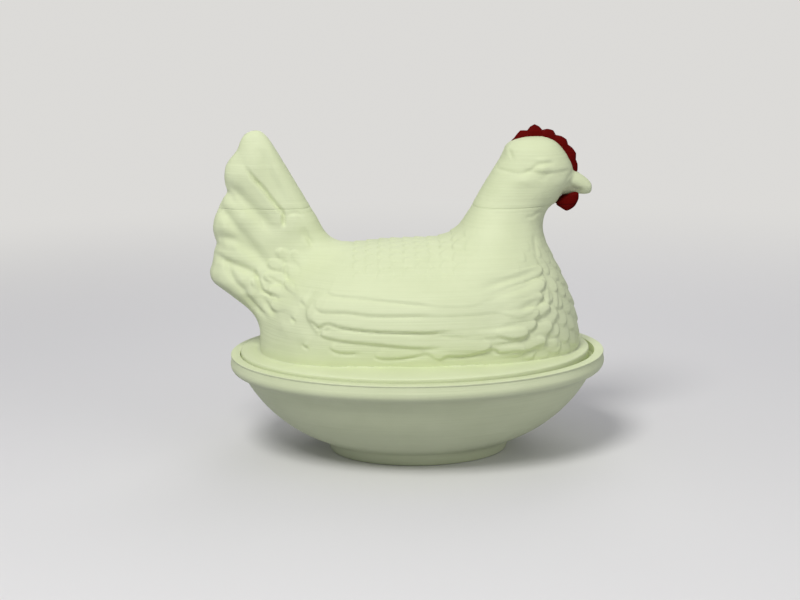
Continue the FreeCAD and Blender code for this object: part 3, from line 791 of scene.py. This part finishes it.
def wing_relief(chart):
    """The wing's areas, each raised over the last, all running out at the wing's top."""
    relief = np.zeros(len(chart))
    for area, step in zip(WING_AREAS, WING_STEPS):
        outline = smoothed(area, 4, closed=True)
        inside = np.where(inside_outline(chart, outline), 1.0, -1.0)
        gap = outline_distance(chart, outline)[0] * inside
        relief += step * smoothstep(gap / 1.1 + 0.5)
    return relief * ramp(chart[:, 1], *WING_TOP)


def scales(down, across, pitch, spread, size):
    """Rows of overlapping round feather tips: 0 in the seams and up to 1 at the tips."""
    relief = np.zeros(len(down))
    first = np.floor(down / pitch)
    for behind in range(int(size / pitch) + 2):
        row = first - behind
        offset = (row % 2) * 0.5
        column = np.round(across / spread - offset) + offset
        s = down / size - row * pitch / size
        t = (across - column * spread) / (spread * 0.55)
        end = np.clip(s - 0.55, 0, None) / 0.45
        shape = smoothstep((1 - np.hypot(end, t)) * 5.5)
        relief = np.maximum(relief, shape * np.clip(s, 0, 1) * (1 - 0.3 * t ** 2))
    return relief


def feather(chart, tip_x, tip_z, way, half, length):
    """A long round-ended feather: 1 at its tip, running out to 0 at its root."""
    along = np.array([math.cos(math.radians(way)), math.sin(math.radians(way))])
    offset = chart - np.array([tip_x, tip_z])
    back = -(offset @ along)
    side = (offset @ np.array([-along[1], along[0]])) / half
    end = np.clip(1 - back / (1.3 * half), 0, None)
    shape = smoothstep((1 - np.hypot(end, side)) * 3.0)
    return shape * np.clip(1 - back / length, 0, 1) * (1 - 0.35 * side ** 2)


def side_feathers(chart):
    """The wing, the feathers' edges and valleys and the swellings on the hen's sides."""
    relief = wing_relief(chart) + swelling(chart, *TAIL_ROOT_HOLLOW)
    for strength, line in FEATHER_EDGES:
        lip = EDGE_LIP * min(strength, EDGE_LIP_STRENGTH)
        relief += edge_relief(chart, line, EDGE_GROOVE * strength, EDGE_WIDTH, lip, EDGE_REACH, EDGE_EASE)
    for depth, width, line in FEATHER_VALLEYS:
        relief += edge_relief(chart, line, depth, width, 0.0, VALLEY_REACH, VALLEY_EASE)
    for height, reach, middle in FEATHER_SWELLINGS:
        relief += swelling(chart, height, middle, reach)
    return relief


def laid_feathers(chart):
    """The feathers laid over one another on the shoulder and at the tail's root."""
    laid = np.zeros(len(chart))
    for *shape, height in LAID_FEATHERS:
        laid = np.maximum(laid, height * feather(chart, *shape))
    return laid


def breast_scales(points):
    """How much a point belongs to the breast, and the height of its scales."""
    x, y, z = points.T
    turn = np.arctan2(np.abs(y), x - BREAST_AXIS)
    breast = ramp(turn, *BREAST_TURN) * ramp(x, *BREAST_FRONT)
    breast *= ramp(z, *BREAST_FOOT) * ramp(z, *BREAST_TOP)
    girth = (BREAST_START_TURN - turn) * BREAST_GIRTH
    down = BREAST_START_Z - z
    lean = math.radians(BREAST_LEAN)
    pattern = scales(down * math.cos(lean) + girth * math.sin(lean),
                     girth * math.cos(lean) - down * math.sin(lean), *BREAST_SCALES)
    return breast, BREAST_SCALE_HEIGHT * breast * pattern


def back_scales(points, normals):
    """The scales on the hen's back, bedded a little into it."""
    x, y, z = points.T
    back = ramp(normals[:, 2], *BACK_FACING) * ramp(z, *BACK_FOOT) * ramp(z, *BACK_TOP)
    back *= ramp(x, *BACK_REAR) * ramp(x, *BACK_FRONT)
    return back * (BACK_SCALE_HEIGHT * scales(BACK_START_X - x, y, *BACK_SCALES) - BACK_SCALE_BED)


def shoulder_fullness(chart):
    """The fullness along the hen's shoulder, over the wing."""
    along, up = (((chart - SHOULDER_MIDDLE) / SHOULDER_REACH) ** 2).T
    full = (SHOULDER_HEIGHT + SHOULDER_FRONT_HEIGHT * np.exp(-along)) * np.exp(-up)
    return full * ramp(chart[:, 0], *SHOULDER_REAR) * ramp(chart[:, 0], *SHOULDER_FRONT)


def feather_relief(points, normals):
    """How far each point of the hen is raised by her feathers."""
    chart = points[:, [0, 2]]
    side_facing = ramp(np.abs(normals[:, 1]), *SIDE_FACING)
    breast, tips = breast_scales(points)
    laid = np.maximum(laid_feathers(chart) * side_facing, tips) - BREAST_SCALE_BED * breast
    relief = side_feathers(chart) * side_facing + laid
    return relief + back_scales(points, normals) + shoulder_fullness(chart)


def face_relief(points):
    """The hen's eyes, cheeks, the lines of her face, her beak's border and her throat."""
    x, y, z = points.T
    chart = points[:, [0, 2]]
    relief = edge_relief(chart, BEAK_BORDER, 0.1, 0.8, 0.5, 3.0, (1.5, 3.0))
    for row in FACE_SWELLINGS:
        relief += swelling(chart, *row)
    for depth, line in FACE_LINES:
        relief += edge_relief(chart, line, depth, 0.7, 0.15, 1.6, (3.0, 3.0))
    relief *= ramp(np.abs(y), *FACE_OUT) * ramp(x, *FACE_REAR) * ramp(z, *FACE_FOOT)
    under = edge_relief(chart, BEAK_UNDERCUT, 0.9, 1.5, 0.0, 1.0, (3.0, 3.0)) * ramp(np.abs(y), 0, 1.5)
    return relief + under + swelling(chart, *THROAT_SWELLING)


def seam_relief(points):
    """The level seams, each a fine groove round the hen."""
    z = points[:, 2]
    return -sum(depth * np.exp(-((z - height) / SEAM_WIDTH) ** 2) for height, depth in LEVEL_SEAMS)


def build_hen(step):
    """The hen's outer form as one fine skin with its relief."""
    torso, tail = body_skin(RIB_SHARES, 0, 6, 96), tail_skin()
    obj = make_piece("hen_cover_body", *joined([torso, tail, beak_skin()]))
    modifier = obj.modifiers.new("skin", "REMESH")
    modifier.mode = "VOXEL"
    modifier.voxel_size = step
    settle(obj)
    mesh = obj.data
    points, pairs = mesh_points(mesh), neighbours(mesh)
    weight = SKIN_SMOOTHING + BEAK_SMOOTHING * ball(points, BEAK_MIDDLE, BEAK_REACH)
    points = relax(points, pairs, weight, SKIN_ROUNDS)
    rear = points[:, 0] < TAIL_FRONT_X
    both = np.maximum(gap_to(points[rear], torso), gap_to(points[rear], tail))
    weight = np.zeros(len(points))
    weight[rear] = TAIL_SMOOTHING * ramp(both, *TAIL_BLEND) * ramp(points[rear, 2], *TAIL_BLEND_Z)
    points = relax(points, pairs, weight, TAIL_ROUNDS)
    put_points(mesh, points)
    normals = vertex_values(mesh, "normal")
    relief = feather_relief(points, normals) + face_relief(points) + seam_relief(points)
    points = points + normals * relief[:, None]
    points = relax(points, pairs, np.full(len(points), CARVING_SMOOTHING), 1)
    points[:, 0] = np.clip(points[:, 0], COVER_LOW[0], COVER_HIGH[0])
    put_points(mesh, points)
    return obj


def build_cover(step, material):
    """Hen and plate as one moulding, hollow underneath."""
    hen = build_hen(step)
    below = grid_solid([[(x, y, z) for x, y in BELOW_PLATE] for z in (0, PLATE_EDGE_Z - HEN_SINK)])
    combine(hen, make_piece("below", *below), "DIFFERENCE")
    for operation, ring, steps, heights in (
        ("UNION", 0, PLATE_STEPS, (SEAT_Z, PLATE_EDGE_Z + PLATE_LIP, PLATE_RISE)),
        ("DIFFERENCE", HOLLOW_RING, HOLLOW_STEPS,
         (SEAT_Z - HOLLOW_BELOW, PLATE_EDGE_Z - PLATE_THICKNESS, PLATE_CROWN)),
    ):
        reach, across = PLATE_REACH - ring, PLATE_ACROSS - ring
        profile = plate_profile(reach, *heights)
        combine(hen, turn_oval("plate", profile, lambda r, z: r * across / reach, steps, material,
                               COVER_SHIFT), operation)
    body_hollow = body_skin(RIB_SHARES[HOLLOW_RIBS], -HEN_WALL, 3, 48)
    combine(hen, make_piece("body hollow", *body_hollow), "DIFFERENCE")
    return hen


# Comb and wattles

CROWN_SHARE = (0.370, 0.842)
CROWN_REACH = 0.110 * HEN_LENGTH
COMB_THICKNESS, COMB_SINK, COMB_HEIGHT = 4.2, 3.0, 4.4
COMB_BLUNTNESS, COMB_EDGE_THINNING = 0.7, 0.25
COMB_TURNS, COMB_RINGS = (150, -12), 200
COMB_END_RUN, COMB_END_THICKNESS = 0.12, 0.25

# The comb's teeth from nape to brow: the turn round the crown in degrees and the height
COMB_TEETH = [
    (150, 0.02), (143, 0.12), (137, 0.2), (124, 0.32), (112, 0.66), (103, 0.44), (98, 0.76), (92, 0.96),
    (86, 0.74), (81, 0.42), (74, 0.64), (66, 0.68), (60, 0.38), (52, 0.60), (44, 0.68), (37, 0.46),
    (30, 0.64), (21, 0.74), (13, 0.54), (6, 0.64), (-2, 0.62), (-8, 0.5), (-12, 0.3),
]


def build_comb():
    """A toothed plate on edge that follows the crown, rounded over at its edge."""
    turns = np.radians(np.linspace(*COMB_TURNS, COMB_RINGS))
    tooth_turns, tooth_heights = zip(*COMB_TEETH[::-1])
    heights = np.interp(np.degrees(turns), tooth_turns, tooth_heights)
    centre = hen_point(*CROWN_SHARE)
    rings = []
    turn = np.linspace(0, 2 * math.pi, 28, endpoint=False)
    for angle, height in zip(turns, heights):
        out = np.array([math.cos(angle), 0, math.sin(angle)])
        low = CROWN_REACH - COMB_SINK
        half = (CROWN_REACH + COMB_HEIGHT * height - low) / 2
        run = min(turns[0] - angle, angle - turns[-1]) / COMB_END_RUN
        up = blunted(np.cos(turn), COMB_BLUNTNESS) * half
        thick = COMB_THICKNESS * min(1.0, run + COMB_END_THICKNESS)
        thick = thick * (1 - COMB_EDGE_THINNING * smoothstep(up / half))
        wide = blunted(np.sin(turn), COMB_BLUNTNESS) * thick / 2
        rings.append(centre + out * (low + half) + np.outer(up, out) + np.outer(wide, Y_AXIS))
    return make_piece("comb_painted", *grid_solid(rings))


# The wattle's outline in x and z: level with the chin on top, pointed below.
WATTLE_OUTLINE = [
    (62.2, 110.8), (63.4, 112.6), (65.4, 114.2), (67.4, 115.3), (69.6, 116.2), (71.6, 116), (72.1, 115),
    (72, 113), (71.2, 111.2), (70.3, 109.8), (68.6, 108.5), (66.8, 107.8), (65.6, 108.3), (64.1, 109.3),
]
WATTLE_HEART = (67.8, 112.2)
WATTLE_THICKNESS, WATTLE_GAP = 3.6, 2.4
WATTLE_CUSHION = [(0, 1), (0.4, 0.97), (0.7, 0.84), (0.88, 0.6), (0.96, 0.38), (0.99, 0.22), (1, 0)]


def build_wattle(name, side):
    """A flat drop under the beak, on one side of the hen's middle."""
    outline = smoothed(WATTLE_OUTLINE, 4, closed=True)
    half = WATTLE_THICKNESS / 2
    points, faces = cushion(outline, WATTLE_HEART, lambda z: np.full(len(z), half), WATTLE_CUSHION, 96, 20)
    points[:, 1] += side * (WATTLE_GAP / 2 + half)
    return make_piece(name, points, faces)


# Materials

LINE_STRETCH, LINE_DETAIL, CLOUD_SCALE = (0.012, 0.012, 1.0), 3.0, 60.0
SEAM_HALF, SEAM_STRENGTH = 0.0004, 1.3
TONE_RANGE, ROUGHNESS_SPREAD, LINE_DEPTH = (0.3, 0.6), 0.06, 0.0003


def layer_lines():
    """Fine level lines of a layered print, as a height and a tone that vary up the piece."""
    found = bpy.data.node_groups.get("layer lines")
    if found:
        return found
    group = bpy.data.node_groups.new("layer lines", "ShaderNodeTree")
    for name, value in (("Lines Per Metre", 1400.0), ("Streak", 0.45), ("Seam Height", 0.1108)):
        socket(group, name, "Float").default_value = value
    for name in ("Height", "Tone"):
        socket(group, name, "Float", "OUTPUT")
    given = add_node(group, "NodeGroupInput").outputs
    place = add_node(group, "ShaderNodeTexCoord").outputs["Object"]
    level = add_node(group, "ShaderNodeMapping", {"Vector": place, "Scale": LINE_STRETCH}).outputs[0]
    fine = {"Vector": level, "Scale": given["Lines Per Metre"], "Detail": LINE_DETAIL}
    lines = add_node(group, "ShaderNodeTexNoise", fine).outputs["Fac"]
    cloud = add_node(group, "ShaderNodeTexNoise", {"Vector": place, "Scale": CLOUD_SCALE}).outputs["Fac"]
    blend = add_node(group, "ShaderNodeMix", {"Factor": given["Streak"], "A": cloud, "B": lines})
    height = add_node(group, "ShaderNodeSeparateXYZ", {0: place}).outputs["Z"]
    away = calculated(group, "ABSOLUTE", calculated(group, "SUBTRACT", height, given["Seam Height"]))
    seam = add_node(group, "ShaderNodeMapRange",
                    {"Value": away, "From Max": SEAM_HALF, "To Min": SEAM_STRENGTH, "To Max": 0.0},
                    interpolation_type="SMOOTHSTEP").outputs["Result"]
    add_node(group, "NodeGroupOutput",
             {"Height": calculated(group, "SUBTRACT", lines, seam),
              "Tone": calculated(group, "SUBTRACT", blend.outputs["Result"], seam)})
    return group


def plastic(name, colour, deep, roughness, bump, gloss):
    """Matt moulded plastic: two close tones, level lines and a slight bump."""
    if name in bpy.data.materials:
        return bpy.data.materials[name]
    material = bpy.data.materials.new(name)
    material.use_nodes = True
    tree = material.node_tree
    effect = add_node(tree, "ShaderNodeGroup", node_tree=layer_lines()).outputs
    spread = add_node(tree, "ShaderNodeMapRange",
                      {"Value": effect["Tone"], "From Min": TONE_RANGE[0], "From Max": TONE_RANGE[1]})
    rough = add_node(tree, "ShaderNodeMapRange",
                     {"Value": effect["Tone"], "To Min": roughness - ROUGHNESS_SPREAD,
                      "To Max": roughness + ROUGHNESS_SPREAD})
    relief = add_node(tree, "ShaderNodeBump",
                      {"Height": effect["Height"], "Strength": bump, "Distance": LINE_DEPTH})
    set_inputs(tree.nodes["Principled BSDF"],
               {"Base Color": colour_mix(tree, spread.outputs["Result"], deep, colour),
                "Roughness": rough.outputs["Result"], "Normal": relief.outputs["Normal"],
                "Specular IOR Level": gloss})
    return material


def pale_plastic():
    """The pale yellow-green plastic of dish and hen."""
    colours = bpy.context.scene.hen_dish_colours
    return plastic("pale plastic", colours.pale, colours.pale_deep, 0.62, 0.4, 0.3)


def red_paint():
    """The dark red of comb and wattles, with hardly any gloss."""
    colours = bpy.context.scene.hen_dish_colours
    return plastic("red paint", colours.red, colours.red_deep, 0.65, 0.5, 0.03)


# The stage. The floor's fade is in metres from the middle.

FLOOR_FRONT, FLOOR_SIDE = 1500.0, 2100.0
BACKDROP_Y, BACKDROP_BEND, BACKDROP_TOP = 900.0, 400.0, 1800.0
FLOOR_ROUGHNESS, FLOOR_GLOSS, FLOOR_FADE = 0.85, 0.1, (0.25, 0.75)
FLOOR_BOUNCE, FAR_SHARE = (0.61, 0.61, 0.71), 0.94

# Lamps: name, place in millimetres, width in metres and power in watts
LAMPS = [
    ("key", (-280, -710, 950), 0.42, 8.4),
    ("fill", (700, -560, 420), 0.7, 1.0),
    ("back", (160, 640, 560), 0.6, 1.4),
]
LAMP_AIM = (0, 0, 60)
WORLD_LIGHT, WORLD_STRENGTH = (0.35, 0.355, 0.39), 1.0

# The camera stands in millimetres and is turned in degrees, as the photograph shows.
CAMERA_PLACE = (-7.4, -782.0, 231.0)
CAMERA_PITCH, CAMERA_ROLL = 11.78, -0.80
CAMERA_FOCUS_PIXELS, IMAGE_WIDTH, SENSOR_WIDTH = 1782.0, 800.0, 36.0
CAMERA_NEAR = 0.01


def far_tone(colour):
    """The even tone that the floor and the backdrop run out to."""
    return [value * FAR_SHARE for value in colour]


def floor_material(colour):
    """A pale floor that keeps the shadow, runs out to one even tone far away, and
    throws less of its light back at the piece."""
    material = bpy.data.materials.new("floor")
    material.use_nodes = True
    tree = material.node_tree
    seen = add_node(tree, "ShaderNodeLightPath").outputs["Is Camera Ray"]
    bounce = [value * share for value, share in zip(colour, FLOOR_BOUNCE)]
    near = set_inputs(tree.nodes["Principled BSDF"],
                      {"Base Color": colour_mix(tree, seen, bounce, colour),
                       "Roughness": FLOOR_ROUGHNESS, "Specular IOR Level": FLOOR_GLOSS})
    place = add_node(tree, "ShaderNodeTexCoord").outputs["Object"]
    away = add_node(tree, "ShaderNodeVectorMath", {0: place}, operation="LENGTH").outputs["Value"]
    fade = add_node(tree, "ShaderNodeMapRange",
                    {"Value": away, "From Min": FLOOR_FADE[0], "From Max": FLOOR_FADE[1]},
                    interpolation_type="SMOOTHSTEP").outputs["Result"]
    even = add_node(tree, "ShaderNodeEmission", {"Color": (*far_tone(colour), 1)})
    mixed = add_node(tree, "ShaderNodeMixShader",
                     {0: calculated(tree, "MULTIPLY", fade, seen), 1: near.outputs[0], 2: even.outputs[0]})
    set_inputs(tree.nodes["Material Output"], {"Surface": mixed.outputs[0]})
    return material


def build_floor():
    """A pale floor that curves up into a backdrop."""
    profile = [(-FLOOR_FRONT, 0), (BACKDROP_Y, 0)]
    profile += [(BACKDROP_Y + BACKDROP_BEND * math.sin(t), BACKDROP_BEND * (1 - math.cos(t)))
                for t in np.linspace(0.1, math.pi / 2, 16)]
    profile.append((BACKDROP_Y + BACKDROP_BEND, BACKDROP_TOP))
    points = [(x, y, z) for y, z in profile for x in (-FLOOR_SIDE, FLOOR_SIDE)]
    faces = [(2 * i, 2 * i + 1, 2 * i + 3, 2 * i + 2) for i in range(len(profile) - 1)]
    floor = mesh_object("floor", points, [], faces)
    shade(floor, floor_material(bpy.context.scene.hen_dish_colours.floor))


def build_lamps():
    """Three soft lamps that look at the hen."""
    for name, place, size, power in LAMPS:
        light = bpy.data.lights.new(name, "AREA")
        light.shape = "DISK"
        light.size = size
        light.energy = power
        lamp = add_object(name, light)
        lamp.location = Vector(place) * MM
        aim = Vector(LAMP_AIM) * MM - lamp.location
        lamp.rotation_euler = aim.to_track_quat("-Z", "Y").to_euler()


def build_world():
    """Even soft light, with the floor's far tone where the camera sees past the floor."""
    world = bpy.data.worlds.new("soft light")
    world.use_nodes = True
    tree = world.node_tree
    seen = add_node(tree, "ShaderNodeLightPath").outputs["Is Camera Ray"]
    tone = colour_mix(tree, seen, WORLD_LIGHT, far_tone(bpy.context.scene.hen_dish_colours.floor))
    set_inputs(tree.nodes["Background"], {"Color": tone, "Strength": WORLD_STRENGTH})
    bpy.context.scene.world = world


def build_camera():
    """The camera at the photograph's viewing angle."""
    camera = bpy.data.cameras.new("camera")
    camera.sensor_width = SENSOR_WIDTH
    camera.lens = SENSOR_WIDTH * CAMERA_FOCUS_PIXELS / IMAGE_WIDTH
    camera.clip_start = CAMERA_NEAR
    obj = add_object("camera", camera)
    obj.location = Vector(CAMERA_PLACE) * MM
    tilt = Matrix.Rotation(math.radians(90 - CAMERA_PITCH), 4, "X")
    roll = Matrix.Rotation(math.radians(CAMERA_ROLL), 4, "Z")
    obj.rotation_euler = (tilt @ roll).to_euler()
    bpy.context.scene.camera = obj


# The add-on

class HenDishColours(bpy.types.PropertyGroup):
    """Colours of the dish, the hen and the stage."""
    pale: bpy.props.FloatVectorProperty(
        name="Pale", description="Main colour of dish and hen", subtype="COLOR", size=3,
        min=0, max=1, default=(0.715, 0.775, 0.485))
    pale_deep: bpy.props.FloatVectorProperty(
        name="Pale, deeper", description="Second tone of dish and hen", subtype="COLOR", size=3,
        min=0, max=1, default=(0.670, 0.732, 0.445))
    red: bpy.props.FloatVectorProperty(
        name="Red", description="Main colour of comb and wattles", subtype="COLOR", size=3,
        min=0, max=1, default=(0.128, 0.003, 0.002))
    red_deep: bpy.props.FloatVectorProperty(
        name="Red, deeper", description="Second tone of comb and wattles", subtype="COLOR", size=3,
        min=0, max=1, default=(0.08, 0.0015, 0.001))
    floor: bpy.props.FloatVectorProperty(
        name="Floor", description="Colour of floor and backdrop", subtype="COLOR", size=3,
        min=0, max=1, default=(0.76, 0.75, 0.73))


class HenDishSizes(bpy.types.PropertyGroup):
    """Fineness of the meshes."""
    skin_step: bpy.props.FloatProperty(
        name="Skin step", description="Width of the smallest facet on the hen", unit="LENGTH",
        min=0.0004, max=0.003, default=0.00072)
    steps_around: bpy.props.IntProperty(
        name="Steps around", description="Facets round the dish's rim", min=48, max=400, default=240)


class HENDISH_OT_dish(bpy.types.Operator):
    """Builds the oval dish"""
    bl_idname = "hen_dish.build_dish"
    bl_label = "Build Dish"

    def execute(self, context):
        steps = context.scene.hen_dish_sizes.steps_around
        dish = turn_oval("dish_ware", dish_profile(), bowl_across, steps, pale_plastic())
        shade(dish, pale_plastic())
        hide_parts("dish")
        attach(dish, "dish")
        return {"FINISHED"}


class HENDISH_OT_cover(bpy.types.Operator):
    """Builds the hen cover with its flange and hollow"""
    bl_idname = "hen_dish.build_cover"
    bl_label = "Build Hen Cover"

    def execute(self, context):
        cover = build_cover(context.scene.hen_dish_sizes.skin_step, pale_plastic())
        shade(cover, pale_plastic())
        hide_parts("hen_cover")
        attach(cover, "cover")
        return {"FINISHED"}


class HENDISH_OT_comb(bpy.types.Operator):
    """Builds the comb"""
    bl_idname = "hen_dish.build_comb"
    bl_label = "Build Comb"

    def execute(self, context):
        comb = build_comb()
        shade(comb, red_paint())
        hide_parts("comb")
        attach(comb, "cover")
        return {"FINISHED"}


class HENDISH_OT_wattles(bpy.types.Operator):
    """Builds the pair of wattles"""
    bl_idname = "hen_dish.build_wattles"
    bl_label = "Build Wattles"

    def execute(self, context):
        for node, side in (("wattle_left", 1), ("wattle_right", -1)):
            wattle = build_wattle(node + "_painted", side)
            shade(wattle, red_paint())
            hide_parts(node)
            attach(wattle, "cover")
        return {"FINISHED"}


class HENDISH_OT_stage(bpy.types.Operator):
    """Builds the floor, the lamps and the camera"""
    bl_idname = "hen_dish.build_stage"
    bl_label = "Build Stage"

    def execute(self, context):
        build_floor()
        build_lamps()
        build_world()
        build_camera()
        return {"FINISHED"}


class HENDISH_PT_panel(bpy.types.Panel):
    """Lists the steps in the 3D view's sidebar"""
    bl_idname = "HENDISH_PT_panel"
    bl_label = "Hen on Nest Dish"
    bl_space_type = "VIEW_3D"
    bl_region_type = "UI"
    bl_category = "Hen Dish"

    def draw(self, context):
        for group in (context.scene.hen_dish_sizes, context.scene.hen_dish_colours):
            for key in group.bl_rna.properties.keys():
                if key not in ("rna_type", "name"):
                    self.layout.prop(group, key)
        for step in STEPS:
            self.layout.operator(step.bl_idname)


STEPS = (HENDISH_OT_dish, HENDISH_OT_cover, HENDISH_OT_comb, HENDISH_OT_wattles, HENDISH_OT_stage)
CLASSES = (HenDishColours, HenDishSizes, *STEPS, HENDISH_PT_panel)


def register():
    for item in CLASSES:
        bpy.utils.register_class(item)
    bpy.types.Scene.hen_dish_colours = bpy.props.PointerProperty(type=HenDishColours)
    bpy.types.Scene.hen_dish_sizes = bpy.props.PointerProperty(type=HenDishSizes)


def unregister():
    del bpy.types.Scene.hen_dish_sizes
    del bpy.types.Scene.hen_dish_colours
    for item in reversed(CLASSES):
        bpy.utils.unregister_class(item)


def main():
    register()
    bpy.context.scene.view_settings.view_transform = "Standard"
    bpy.ops.hen_dish.build_dish()
    bpy.ops.hen_dish.build_cover()
    bpy.ops.hen_dish.build_comb()
    bpy.ops.hen_dish.build_wattles()
    bpy.ops.hen_dish.build_stage()


if __name__ == "__main__":
    main()
